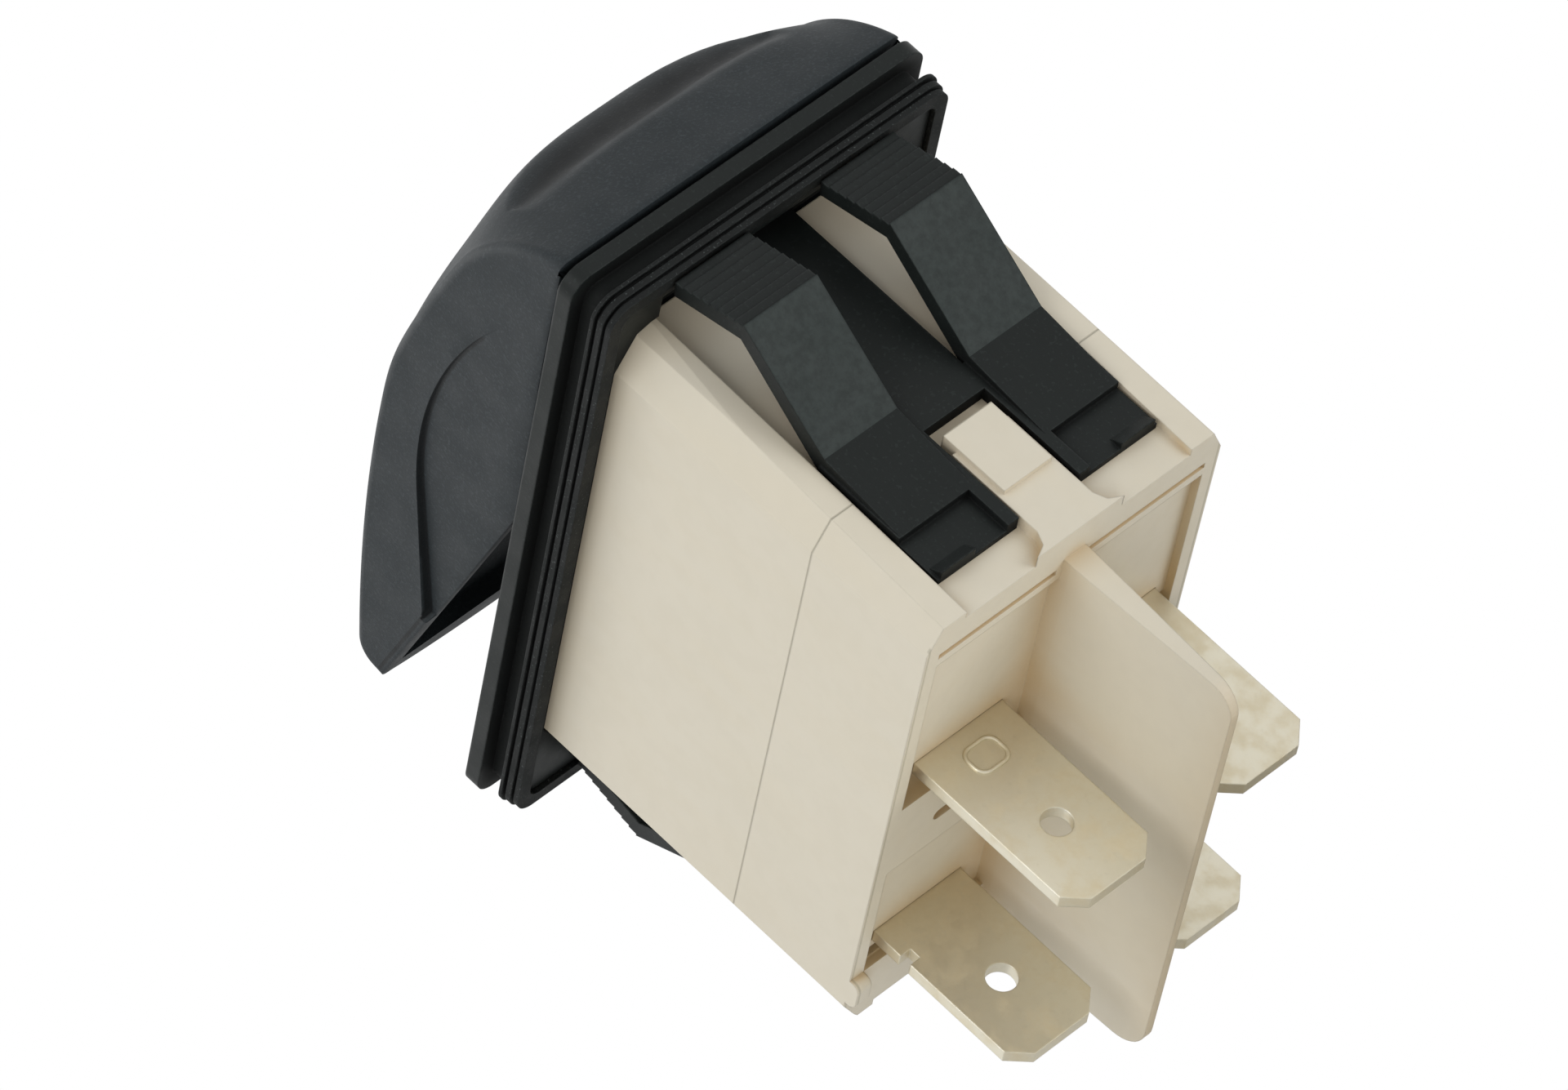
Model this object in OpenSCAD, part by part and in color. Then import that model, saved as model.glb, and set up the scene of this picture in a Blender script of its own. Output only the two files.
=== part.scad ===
// Double-pole ON-OFF rocker switch for a rectangular panel cut-out, with a
// snap-in bracket, four blade terminals and two see-saw contact blades.
// Millimetres. The origin is the centre of the cut-out in the panel's front
// face. +Z points to the operator, +X is the end that is pressed for ON.

/* [Housing] */
// Length of the housing at the panel, over the corner rails
body_l = 36.4; // [34:0.1:38]
// Width of the housing
body_w = 20.96; // [20.4:0.02:22]
// Thickness of the housing walls
wall = 1.0; // [0.8:0.05:1.3]
// Depth of the seam between the two housing halves below the panel
seam_depth = 13.95; // [12:0.05:16]
// Depth of the terminal end below the panel
body_depth = 22.2; // [21.5:0.1:26]
// Height of the housing above the panel, inside the bracket
body_rise = 1.35; // [0.6:0.05:1.4]
// How much each end leans in over the depth of the housing
end_draft = 0.8; // [0:0.05:0.9]
// Height of the corner rails above the channel for the bracket leg
rail_h = 1.25; // [1.0:0.05:1.5]
// Width of the flat crest of a corner rail
rail_w = 0.42; // [0.3:0.02:0.7]
// Thickness of the floor that holds the terminals
floor_t = 2.2; // [1.6:0.1:3]
// Depth of the shallow pockets around the terminals
pocket_d = 0.5; // [0.3:0.05:0.8]
// Thickness of the divider between the poles, at its root
divider_t = 1.56; // [1.2:0.02:2]
// Thickness of the divider at its tip
divider_tip_t = 0.55; // [0.4:0.05:1.2]
// Depth of the divider's tip below the panel
divider_depth = 33.9; // [32:0.1:38]

/* [Bezel] */
// How far the bezel stands out past each end of the housing
bezel_end = 4.0; // [3.4:0.1:6]
// How far the bezel stands out past each side of the housing
bezel_side = 1.95; // [1.75:0.05:3.5]
// Radius of the bezel's corners
bezel_r = 1.3; // [0.8:0.1:3]
// Height of the bezel above the panel
bezel_h = 3.41; // [3.2:0.01:4.5]
// Thickness of the bezel's rim
rim_t = 0.96; // [0.7:0.02:1.1]
// Depth of the groove under the rim
groove_d = 1.0; // [0.6:0.05:1.2]
// Thickness of the panel gasket
gasket_t = 1.25; // [0.8:0.05:1.4]
// Thickness of the seal between housing and bezel
seal_t = 0.75; // [0.7:0.05:1.2]
// Thickness of the seal's dust skirt
skirt_t = 0.4; // [0.3:0.05:0.6]

/* [Bracket legs] */
// Thickness of the leg plates
leg_t = 0.9; // [0.7:0.05:1.1]
// Width of the leg plates
leg_w = 15.6; // [14.6:0.1:16]
// Width of the strip that joins a leg to the bezel
strip_w = 4.8; // [4:0.1:5]
// Depth of the feet below the panel
leg_depth = 19.9; // [19:0.1:20.2]
// Depth of the roots of the wings
wing_root = 11.45; // [10:0.05:12]
// Depth of the widest point of the wings
wing_apex = 4.84; // [4:0.02:6]
// How far the wings stand out from the leg plate, at the ON end
wing_out = 4.85; // [3.5:0.05:5.5]
// How far the wings stand out at the other end
wing_back = 3.95; // [3.2:0.05:5.5]
// Thickness of the wings
wing_t = 1.0; // [0.8:0.05:1.2]
// Width of the slot beside the strip
wing_slot = 0.16; // [0.1:0.02:0.4]
// Steps on the gripping face of a wing
wing_steps = 8; // [5:1:12]

/* [Rocker] */
// Length of the rocker button
button_l = 43.6; // [42:0.1:46]
// Width of the rocker button
button_w = 23.9; // [23.5:0.05:24.4]
// Thickness of the button's side walls
button_wall = 1.05; // [0.8:0.05:1.2]
// Height of the hollow's ceiling above the bezel
ceiling_h = 7.0; // [6.5:0.1:7.4]
// Rise of the crown across the button
crown = 1.95; // [0.5:0.05:2.5]
// Depth of the finger dish in the pressed end
dish_d = 1.0; // [0.2:0.05:1.4]
// Depth of the arched panels in the sides
arch_d = 0.6; // [0.2:0.05:0.7]
// Gap between bezel and button at the middle
skirt_gap = 0.54; // [0.4:0.02:1]
// Tilt of the rocker at each end of its travel
tilt = 9; // [7:0.5:10]
// Distance of the pivot axis below the top of the bezel
pivot_drop = 1.41; // [1.2:0.01:1.6]
// Radius of the trunnions
trunnion_r = 1.5; // [1.2:0.05:1.7]
// Thickness of the bearing ears
ear_t = 1.1; // [0.9:0.05:1.2]

/* [Terminals] */
// Width of the blade terminals
tab_w = 6.3; // [4.8:0.1:6.6]
// Thickness of the blade terminals
tab_t = 0.8; // [0.5:0.05:0.9]
// Distance between the two poles
pole_pitch = 11.1; // [10.8:0.05:11.4]
// Place of the common terminals along the housing
common_x = 4.0; // [3.4:0.1:5]
// Place of the switched terminals along the housing
switched_x = 11.0; // [10.4:0.1:11.4]
// Depth of the common terminals' tips
common_depth = 33.3; // [31:0.1:35]
// Depth of the switched terminals' tips
switched_depth = 32.4; // [31:0.1:35]
// Distance from the tip to the locking hole
hole_in = 4.45; // [3.5:0.05:5]
// Radius of the locking hole
hole_r = 0.88; // [0.7:0.02:1]

/* [Mechanism] */
// Reach of the plunger tips below the pivot axis
plunger_reach = 14.5; // [14:0.1:15.5]
// Radius of the plungers
plunger_r = 1.25; // [1.0:0.05:1.4]
// Radius of the plunger tubes
tube_r = 2.3; // [2:0.05:2.4]
// Height of the tubes' lower ends above the plunger tips
tube_up = 5; // [4:0.1:6]
// Height of the springs' seats above the plunger tips
seat_up = 10; // [9:0.1:11]
// Length of the carrier's plate
carrier_l = 20; // [17:0.5:24]
// Thickness of the carrier's plate and cheeks
carrier_t = 1.0; // [0.8:0.05:1.2]
// Width of the carrier's cheeks
cheek_w = 7.2; // [6:0.1:9]
// Wire thickness of the plunger springs
wire_d = 0.3; // [0.2:0.02:0.4]
// Width of the contact blades
blade_w = 5.0; // [4.4:0.1:5.2]
// Thickness of the contact blades
blade_t = 0.5; // [0.4:0.05:0.6]
// Distance of the contacts from the fulcrum
contact_x = 8.6; // [8:0.1:9]
// Radius of the contact rivets
contact_r = 1.5; // [1.2:0.05:1.7]
// Thickness of the contact heads
contact_t = 0.8; // [0.6:0.05:1]

/* [Fits] */
// Clearance of sliding and turning fits
run_fit = 0.06; // [0.04:0.01:0.09]
// Clearance around fixed pieces
fixed_fit = 0.05; // [0.02:0.01:0.08]
// Gap between open faces that move past each other
part_gap = 0.2; // [0.15:0.01:0.25]

/* [Hidden] */
$fn = 48;

// Housing
hx = body_l / 2;
hy = body_w / 2;
chan_x = hx - rail_h;
rail_in = leg_w / 2 + part_gap;
in_x = chan_x - wall;
in_y = hy - wall;
floor_z = -(body_depth - pocket_d);
deck_z = floor_z + floor_t;

// Bezel
bezel_l = body_l + 2 * bezel_end;
bezel_w = body_w + 2 * bezel_side;
rim_bot = bezel_h - rim_t;
lip_z = body_rise + seal_t;
flange_z = 0.3;
flange_in = groove_d + 0.4;
pivot_z = bezel_h - pivot_drop;

// Legs
leg_in = chan_x + fixed_fit;
leg_out = leg_in + leg_t;
strip_y = strip_w / 2;
wing_y0 = strip_y + wing_slot;
wing_y1 = leg_w / 2 - 0.1;
wing_tip = 0.13;
wing_lean = 1.35;
foot_in = 2.16;
foot_step = leg_depth - 2.84;
notch_z = -(seam_depth - 0.9);

// Latch nub and pad on the terminal base
nub_out = leg_out + 0.2;
nub_y = foot_in - 0.46;
nub_len = 4.4;
pad_out = leg_out - 0.15;

// Rocker
bx = button_l / 2;
by = button_w / 2;
apex_z = bezel_h + skirt_gap;
skirt_a = tilt - 0.4;
end_z = apex_z + bx * tan(skirt_a);
ceil_z = bezel_h + ceiling_h;
ear_y1 = in_y - part_gap + 0.02;
ear_y0 = ear_y1 - ear_t;
cheek_y1 = ear_y0 - part_gap;
trunnion_end = ear_y1 - 0.1;
ear_r = trunnion_r + 1.5;

// Mechanism, all for one pole
pole_y = pole_pitch / 2;
bore_r = plunger_r + run_fit;
tip_z = pivot_z - plunger_reach;
tube_z = tip_z + tube_up;
bore_top = ceil_z - 2.8;
spring_seat = tip_z + seat_up;
blade_tilt = tilt * 5 / 9;
knife_r = 0.3;
lift = knife_r + fixed_fit;
fulcrum_z = tip_z - 0.1 - blade_t - lift;
arm_on = blade_tilt;
head_z = fulcrum_z + lift * cos(arm_on) - contact_t;
fixed_top = head_z - 0.05;
foot_top = fixed_top - contact_t;
riser_w = blade_w - 1.0;
shank_r = 0.75;

// One clockwise arc of a profile: start, heading, radius, turn, share done
function turn(p, h, r, a) = p + r * [sin(h) - sin(h - a), cos(h - a) - cos(h)];
function arc(p, h, r, a, n) =
    [for (i = [0 : n - 1]) concat(turn(p, h, r, a * i / n), h - a * i / n)];

// Side profile of the button: end wall, back slope, peak, front slope, roll
q0 = [-21.7, 0];
q1 = q0 + [0, 0.75];
q2 = turn(q1, 90, 1.75, 72.4);
q3 = turn(q2, 17.6, 113.4, 11.1);
q4 = turn(q3, 6.5, 12, 10.5);
q5 = turn(q4, -4, 95, 6.5);
q6 = turn(q5, -10.5, 11.48, 48.4);
q7 = turn(q6, -58.9, 0.6, 31.1);
profile = concat([concat(q0, 90)], arc(q1, 90, 1.75, 72.4, 7),
    arc(q2, 17.6, 113.4, 11.1, 12), arc(q3, 6.5, 12, 10.5, 4),
    arc(q4, -4, 95, 6.5, 7), arc(q5, -10.5, 11.48, 48.4, 15),
    arc(q6, -58.9, 0.6, 31.1, 4), [concat(q7, -90)]);
kx = button_l / 43.6;
mid_x = 0.1;

// Share of the crown along the button, dish and rounded long edges
function fade(t) = t <= 0 ? 1 : t >= 1 ? 0 : 1 - t * t * (3 - 2 * t);
function bump(t) = abs(t) >= 1 ? 0 : pow(1 - t * t, 2);
function crown_at(x) = x < 0 ? 0.35 + 0.65 * fade((-x / bx - 0.5) * 2)
    : 0.1 + 0.9 * fade((x / bx - 0.7) / 0.3);
function edge_drop(u) = u < 0.95 ? 0 : 0.6 * (1 - sqrt(max(0, 1 - pow((u - 0.95) / 0.05, 2))));
function brow(x, u) = 0.4 * bump((x - 14) / 6) * max(0, 1 - pow(u / 0.8, 3));
function dish(x, u) = let (x0 = 14.4 + 2.6 * u * u, x1 = 16.6)
    dish_d * (x < x1 ? fade((x1 - x) / (x1 - x0)) : fade((x - x1) / 2)) * fade((u - 0.7) / 0.09);
function skin(x, u) = crown * crown_at(x) * max(0, 1 - pow(u / 0.937, 3)) + brow(x, u)
    - edge_drop(u) - dish(x, u);
cols = [0, 0.22, 0.42, 0.6, 0.7, 0.745, 0.79, 0.86, 0.91, 0.95, 0.975, 0.99, 1];
ucols = concat([for (i = [len(cols) - 1 : -1 : 1]) -cols[i]], cols);

// Outline of the housing grown by c, for a quarter at the ON end, for a
// quarter at the other end, whose corners are steeper, and for all four
function quarter(c) = [[chan_x + c, rail_in - c], [hx + c, rail_in - c],
    [hx + c, rail_in + rail_w], [hx - 0.27 + c, hy - 1.1], [hx - 2.52, hy + c]];
function steep(c) = [[chan_x + c, rail_in - c], [hx + c, rail_in - c],
    [hx + c, rail_in + rail_w], [hx - 1.15 + c, hy - 1.1], [hx - 2.9, hy + c]];
function outline(c) = let (q = quarter(c), b = steep(c), n = len(q)) concat(q,
    [for (i = [n - 1 : -1 : 0]) [-b[i][0], b[i][1]]],
    [for (i = [0 : n - 1]) [-b[i][0], -b[i][1]]],
    [for (i = [n - 1 : -1 : 0]) [q[i][0], -q[i][1]]]);

// Helpers
module both_x() { for (s = [0, 1]) mirror([s, 0, 0]) children(); }
module both_y() { for (s = [0, 1]) mirror([0, s, 0]) children(); }
module block(x0, x1, y0, y1, z0, z1) {
    translate([x0, y0, z0]) cube([x1 - x0, y1 - y0, z1 - z0]);
}
module frame_plate(l, w, r, z0, z1) {
    translate([0, 0, z0]) linear_extrude(z1 - z0) union() {
        square([l - 2 * r, w], center = true);
        square([l, w - 2 * r], center = true);
        for (x = [-1, 1], y = [-1, 1])
            translate([x * (l / 2 - r), y * (w / 2 - r)]) circle(r);
    }
}
// Extrudes an X-Z outline along Y from y0 to y1
module along_y(y0, y1) {
    translate([0, y1, 0]) rotate([90, 0, 0]) linear_extrude(y1 - y0) children();
}
// Extrudes a Y-Z outline along X from x0 to x1
module along_x(x0, x1) {
    translate([x0, 0, 0]) rotate([90, 0, 90]) linear_extrude(x1 - x0) children();
}
module rocked() {
    translate([0, 0, pivot_z]) rotate([0, tilt, 0]) translate([0, 0, -pivot_z])
        children();
}
module bladed(s) {
    translate([0, s * pole_y, fulcrum_z]) rotate([0, -blade_tilt, 0]) children();
}

// Rocker button
module button_skin() {
    n = len(profile);
    m = len(ucols);
    pts = concat(
        [for (p = profile, u = ucols)
            let (d = skin(p[0], abs(u)))
            [(p[0] - mid_x) * kx - d * sin(p[2]), u * by, end_z + p[1] + d * cos(p[2])]],
        [for (u = ucols) [0, u * by, apex_z]]);
    rows = n + 1;
    polyhedron(pts, concat(
        [for (i = [0 : rows - 1], j = [0 : m - 2])
            let (a = i * m + j, b = ((i + 1) % rows) * m + j) [a, a + 1, b + 1]],
        [for (i = [0 : rows - 1], j = [0 : m - 2])
            let (a = i * m + j, b = ((i + 1) % rows) * m + j) [a, b + 1, b]],
        [[for (i = [0 : rows - 1]) i * m]],
        [[for (i = [rows - 1 : -1 : 0]) i * m + m - 1]]), convexity = 6);
}
module arch_outline() {
    a0 = [-13.9, 2.4];
    a1 = a0 + 9.5 * [cos(20.5), sin(20.5)];
    a2 = turn(a1, 20.5, 22, 20.5);
    pts = concat([[a0[0], -4], a0], [for (p = arc(a1, 20.5, 22, 20.5, 8)) [p[0], p[1]]],
        [for (p = arc(a2, 0, 26, 27, 10)) [p[0], p[1]]], [[14.4, 4.3], [14.4, -4]]);
    polygon([for (p = pts) [p[0] * bx / 21.8, apex_z + p[1]]]);
}
module rocker_button() {
    hw = by - button_wall;
    color([0.2, 0.215, 0.23]) rocked() difference() {
        button_skin();
        along_y(-hw, hw) polygon([[-bx + 1.25, apex_z - 9],
            [-bx + 1.25, end_z + 0.8], [-bx * 0.6, ceil_z], [bx * 0.7, ceil_z],
            [bx - 2.0, end_z + 0.8], [bx - 1.5, apex_z - 9]]);
        both_y() translate([bx * 0.62, by, 0]) rotate([0, 0, asin(arch_d / (bx * 1.27))])
            translate([-bx * 0.62, 0, 0]) along_y(0, 2) arch_outline();
    }
}

// Rocker carrier with trunnions and plunger tubes
module rocker_carrier() {
    color([0.16, 0.165, 0.17]) rocked() difference() {
        union() {
            block(-carrier_l / 2, carrier_l / 2, -hy + 1.6, hy - 1.6, ceil_z - carrier_t, ceil_z);
            both_y() block(-cheek_w / 2, cheek_w / 2, cheek_y1 - carrier_t, cheek_y1,
                pivot_z - trunnion_r - 0.4, ceil_z - carrier_t / 2);
            both_y() translate([0, cheek_y1 - 0.5, pivot_z]) rotate([-90, 0, 0])
                cylinder(r = trunnion_r, h = trunnion_end - cheek_y1 + 0.5);
            both_y() translate([0, pole_y, tube_z]) cylinder(r = tube_r, h = ceil_z - 0.5 - tube_z);
            block(-0.6, 0.6, -pole_y, pole_y, pivot_z - 4, ceil_z - 0.5);
            for (x = [-1, 1] * (carrier_l / 2 - 1.6))
                block(x - 0.5, x + 0.5, -hy + 2.4, hy - 2.4, ceil_z - 2.6, ceil_z - 0.5);
        }
        both_y() translate([0, pole_y, tube_z - 1]) cylinder(r = bore_r, h = bore_top - tube_z + 1);
    }
}

// Snap-in bracket: bezel, bearing ears, legs, feet and wings
function wing_face(i, n, o) = let (t = floor(i / 2) / n,
    c = [leg_out + o, -wing_apex], d = [leg_out + o - wing_lean, -wing_tip])
    c + (d - c) * t + (i % 2 == 1 ? [-0.13, 0] : [0, 0]);
module wing_outline(o) {
    r0 = [leg_out + 0.6, -wing_root];
    c0 = [leg_out + o, -wing_apex];
    d0 = [leg_out + o - wing_lean, -wing_tip];
    polygon(concat([[leg_in, -foot_step], [leg_out, -foot_step], r0, c0],
        [for (i = [1 : 2 * wing_steps - 1]) wing_face(i, wing_steps, o)],
        [d0, d0 - [wing_t, 0.1], c0 - [wing_t * 1.15, 0],
        r0 + [-wing_t * 1.1, wing_t * 0.35], [leg_in, -wing_root + 0.2]]));
}
module leg(o) {
    difference() {
        union() {
            block(leg_in, leg_out, -leg_w / 2, leg_w / 2, -leg_depth, -wing_root + 0.2);
            block(leg_in, leg_out, -strip_y, strip_y, -wing_root, lip_z);
            both_y() along_y(wing_y0, wing_y1) wing_outline(o);
        }
        block(leg_in - 1, leg_out + 1, -foot_in, foot_in, -leg_depth - 1, notch_z);
        both_y() block(leg_out - 0.5, leg_out + 1, foot_in + 0.75, leg_w / 2 + 1,
            -leg_depth - 1, -foot_step);
    }
    both_y() along_y(leg_w / 2 - 2.6, leg_w / 2 - 0.2) polygon([
        [leg_in + 0.1, -leg_depth], [leg_out, -leg_depth], [leg_in + 0.1, -leg_depth + 1.3]]);
}
module mounting_bracket() {
    color([0.17, 0.18, 0.185]) difference() {
        union() {
            difference() {
                union() {
                    frame_plate(bezel_l, bezel_w, bezel_r, rim_bot, bezel_h);
                    frame_plate(bezel_l - 2 * groove_d, bezel_w - 2 * groove_d,
                        max(bezel_r - groove_d / 2, 0.4), gasket_t, rim_bot);
                    frame_plate(bezel_l - 2 * flange_in, bezel_w - 2 * flange_in,
                        max(bezel_r - groove_d / 2, 0.4), flange_z, gasket_t);
                }
                translate([0, 0, flange_z - 1]) linear_extrude(lip_z - flange_z + 1)
                    polygon(outline(0.1));
                block(-in_x, in_x, -in_y, in_y, flange_z - 1, bezel_h + 1);
                both_x() block(chan_x, bezel_l / 2 - flange_in - 0.9, -leg_w / 2 - 0.1,
                    leg_w / 2 + 0.1, flange_z - 1, lip_z - 0.6);
            }
            both_y() block(-ear_r, ear_r, ear_y0, in_y + 0.3, lip_z, bezel_h);
            both_y() translate([0, ear_y0, pivot_z]) rotate([-90, 0, 0])
                cylinder(r = ear_r, h = ear_t);
            leg(wing_out);
            mirror([1, 0, 0]) leg(wing_back);
        }
        both_y() translate([0, ear_y0 - 1, pivot_z]) rotate([-90, 0, 0])
            cylinder(r = trunnion_r + run_fit, h = ear_t + 1);
    }
}

// Ribbed panel gasket: outer bands from the panel up to the lip
module panel_gasket() {
    bands = [[0, 0.28, 0.5], [0.28, 0.4, 0.66], [0.4, 0.68, 0.4], [0.68, 0.84, 0.6], [0.84, 1, 0.3]];
    color([0.13, 0.14, 0.14]) difference() {
        for (b = bands)
            frame_plate(bezel_l - 2 * b[2], bezel_w - 2 * b[2], bezel_r,
                gasket_t * b[0], gasket_t * b[1]);
        frame_plate(bezel_l - 2 * flange_in + 2 * fixed_fit, bezel_w - 2 * flange_in
            + 2 * fixed_fit, max(bezel_r - groove_d / 2, 0.4), -1, gasket_t + 1);
    }
}

// Seal between the housing's top edge and the bezel, with a thin dust skirt
// that leaves a slot for the carrier and the bearing ears
module housing_seal() {
    slot = ear_r + 1.2;
    color([0.1, 0.1, 0.11]) difference() {
        intersection() {
            block(-chan_x + 0.1, chan_x - 0.1, -hy + 0.1, hy - 0.1, body_rise, lip_z);
            translate([0, 0, body_rise]) linear_extrude(lip_z - body_rise) polygon(outline(-0.1));
        }
        block(-in_x - 0.1, in_x + 0.1, -in_y - 0.1, in_y + 0.1, body_rise - 1, lip_z - skirt_t);
        block(-slot, slot, -in_y - 0.1, in_y + 0.1, body_rise - 1, lip_z + 1);
    }
}

// Housing halves share one leaning outline
module shell(z0, z1) {
    lean = end_draft / body_depth;
    intersection() {
        translate([0, 0, z0]) linear_extrude(z1 - z0) polygon(outline(0));
        along_y(-hy - 1, hy + 1) polygon([[-hx - lean * z0, z0], [hx + lean * z0, z0],
            [hx + lean * z1, z1], [-hx - lean * z1, z1]]);
    }
}
module upper_housing() {
    color([0.86, 0.83, 0.74]) difference() {
        shell(-seam_depth, body_rise);
        block(-in_x, in_x, -in_y, in_y, -seam_depth - 1, body_rise + 1);
    }
}
module divider_outline() {
    r = 1.9;
    q = 1.7;
    x0 = -hx + 2.4;
    x1 = hx - 2.6;
    polygon(concat([[x0, floor_z + 1]],
        [for (a = [0 : 10 : 90]) [x0 + r - r * cos(a), -divider_depth + r - r * sin(a)]],
        [for (a = [0 : 10 : 90]) [x1 - q + q * sin(a), -divider_depth + q - q * cos(a)]],
        [[x1, floor_z + 1]]));
}
module tab_slot(x) {
    block(x - tab_t / 2 - fixed_fit, x + tab_t / 2 + fixed_fit,
        pole_y - tab_w / 2 - fixed_fit, pole_y + tab_w / 2 + fixed_fit, floor_z - 1, deck_z + 1);
}
module terminal_base() {
    rim_y = hy - wall;
    div_y = divider_t / 2;
    div_tip = divider_tip_t / 2;
    bar_x0 = -4.2;
    bar_x1 = common_x - 2.5;
    color([0.84, 0.81, 0.72]) difference() {
        union() {
            shell(-body_depth, -seam_depth);
            both_x() block(chan_x - 0.5, nub_out, -nub_y, nub_y, -seam_depth - nub_len, -seam_depth);
            both_x() block(chan_x - 0.5, pad_out, -foot_in + part_gap, foot_in - part_gap,
                -body_depth, -seam_depth - 1);
            both_x() both_y() along_x(chan_x - 0.5, pad_out) polygon([
                [0, -body_depth], [3.1, -body_depth], [2.3, -body_depth + 0.4],
                [1.9, -body_depth + 1.3], [0, -body_depth + 1.3]]);
            both_y() block(-14.9, -13, rim_y, hy, -body_depth - 0.2, -body_depth + 0.5);
            both_y() for (x = [-14.4, -13.5]) translate([x, rim_y, -body_depth - 0.2])
                rotate([-90, 0, 0]) cylinder(r = 0.5, h = wall);
            both_y() block(-14.4, -13.5, rim_y, hy, -body_depth - 0.7, -body_depth);
            intersection() {
                along_y(-div_y, div_y) divider_outline();
                along_x(-hx, hx) polygon([[-div_y, floor_z + 1], [-div_y, floor_z - 1],
                    [-div_tip, -divider_depth], [div_tip, -divider_depth],
                    [div_y, floor_z - 1], [div_y, floor_z + 1]]);
            }
        }
        difference() {
            block(-in_x, in_x, -in_y, in_y, deck_z, -seam_depth + 1);
            block(-in_x + 3, in_x - 5, -div_y, div_y, deck_z, -seam_depth + 2);
        }
        both_y() difference() {
            block(-switched_x - 2, in_x - 1.9, div_y, rim_y, -body_depth - 1, floor_z);
            block(bar_x0, bar_x1, div_y - 1, rim_y + 1, -body_depth - 2, floor_z + 1);
        }
        both_y() block(in_x - 1.3, in_x - 0.9, div_y + 0.4, rim_y, -body_depth - 1, -body_depth + 0.25);
        both_y() block(bar_x1, common_x - tab_t / 2, rim_y - 3.1, rim_y, floor_z - 1, floor_z + 1.2);
        both_y() block(-switched_x - 1.9, -switched_x - 1.0, rim_y - 2.2, rim_y - 0.2,
            floor_z - 1, floor_z + 1.2);
        both_y() block(-2.1, -1.3, 4.9, 6.2, -body_depth - 1, -body_depth + 0.8);
        both_y() for (y = [4.9, 6.2]) translate([-1.7, y, -body_depth - 1]) cylinder(r = 0.4, h = 1.8);
        both_y() tab_slot(common_x);
        both_y() tab_slot(-switched_x);
    }
}

// Flat blade with a chamfered tip and a locking hole, seen along X
module tab(x, tip, top) {
    c = 1.2;
    w = tab_w / 2;
    difference() {
        along_x(x - tab_t / 2, x + tab_t / 2) polygon([[-w + c, -tip], [w - c, -tip],
            [w, -tip + c * 0.9], [w, top], [-w, top], [-w, -tip + c * 0.9]]);
        translate([x - tab_t, 0, -tip + hole_in]) rotate([0, 90, 0])
            cylinder(r = hole_r, h = 2 * tab_t);
    }
}
module common_terminal(s) {
    color([0.82, 0.8, 0.72]) translate([0, s * pole_y, 0]) union() {
        tab(common_x, common_depth, deck_z + tab_t);
        block(-tab_t / 2, common_x + tab_t / 2, -riser_w / 2, riser_w / 2, deck_z, deck_z + tab_t);
        along_y(-riser_w / 2, riser_w / 2) polygon([[-tab_t / 2, deck_z], [tab_t / 2, deck_z],
            [tab_t / 2, fulcrum_z - 1.2], [knife_r, fulcrum_z], [-knife_r, fulcrum_z],
            [-tab_t / 2, fulcrum_z - 1.2]]);
        translate([0, -riser_w / 2, fulcrum_z]) rotate([-90, 0, 0])
            cylinder(r = knife_r, h = riser_w);
    }
}
module switched_terminal(s) {
    color([0.82, 0.8, 0.72]) translate([0, s * pole_y, 0]) difference() {
        union() {
            tab(-switched_x, switched_depth, foot_top);
            block(-switched_x - tab_t / 2, -contact_x + contact_r + 0.1, -tab_w / 2, tab_w / 2,
                foot_top - tab_t, foot_top);
        }
        translate([-contact_x, 0, foot_top - 2]) cylinder(r = shank_r + fixed_fit, h = 3);
        block(-switched_x - 1, -switched_x + 1, s * tab_w / 2 - 0.7, s * tab_w / 2 + 0.7,
            -24.4, -23.7);
    }
}

// Contact rivets and the see-saw blade
module fixed_contact(s) {
    color([0.8, 0.79, 0.76]) translate([-contact_x, s * pole_y, 0]) union() {
        translate([0, 0, foot_top]) cylinder(r = contact_r, h = contact_t);
        translate([0, 0, foot_top - tab_t - 0.3]) cylinder(r = shank_r, h = tab_t + 0.5);
        translate([0, 0, foot_top - tab_t - 0.3]) cylinder(r = shank_r + 0.35, h = 0.3);
    }
}
module contact_blade(s) {
    l0 = contact_x + contact_r + 0.1;
    l1 = 5.5;
    w = blade_w / 2;
    t = tan(arm_on);
    color([0.72, 0.45, 0.3]) bladed(s) difference() {
        union() {
            along_y(-w, w) polygon([[0, lift], [l1, lift + l1 * t], [l1, lift + l1 * t + blade_t],
                [0, lift + blade_t], [-l0, lift + l0 * t + blade_t], [-l0, lift + l0 * t]]);
            both_y() along_y(w - 0.4, w) polygon([[-1, lift + 0.2], [1, lift + 0.2],
                [1, -0.7], [0.7, -1], [-0.7, -1], [-1, -0.7]]);
        }
        rotate([0, arm_on, 0]) translate([-contact_x, 0, 0])
            cylinder(r = shank_r + fixed_fit, h = 2);
    }
}
module moving_contact(s) {
    u = lift * cos(arm_on);
    color([0.8, 0.79, 0.76]) bladed(s) rotate([0, arm_on, 0]) translate([-contact_x, 0, u]) union() {
        translate([0, 0, -contact_t]) cylinder(r = contact_r, h = contact_t);
        cylinder(r = shank_r, h = blade_t + 0.2);
        translate([0, 0, blade_t * cos(arm_on)]) cylinder(r = contact_r - 0.3, h = 0.35);
    }
}

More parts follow.
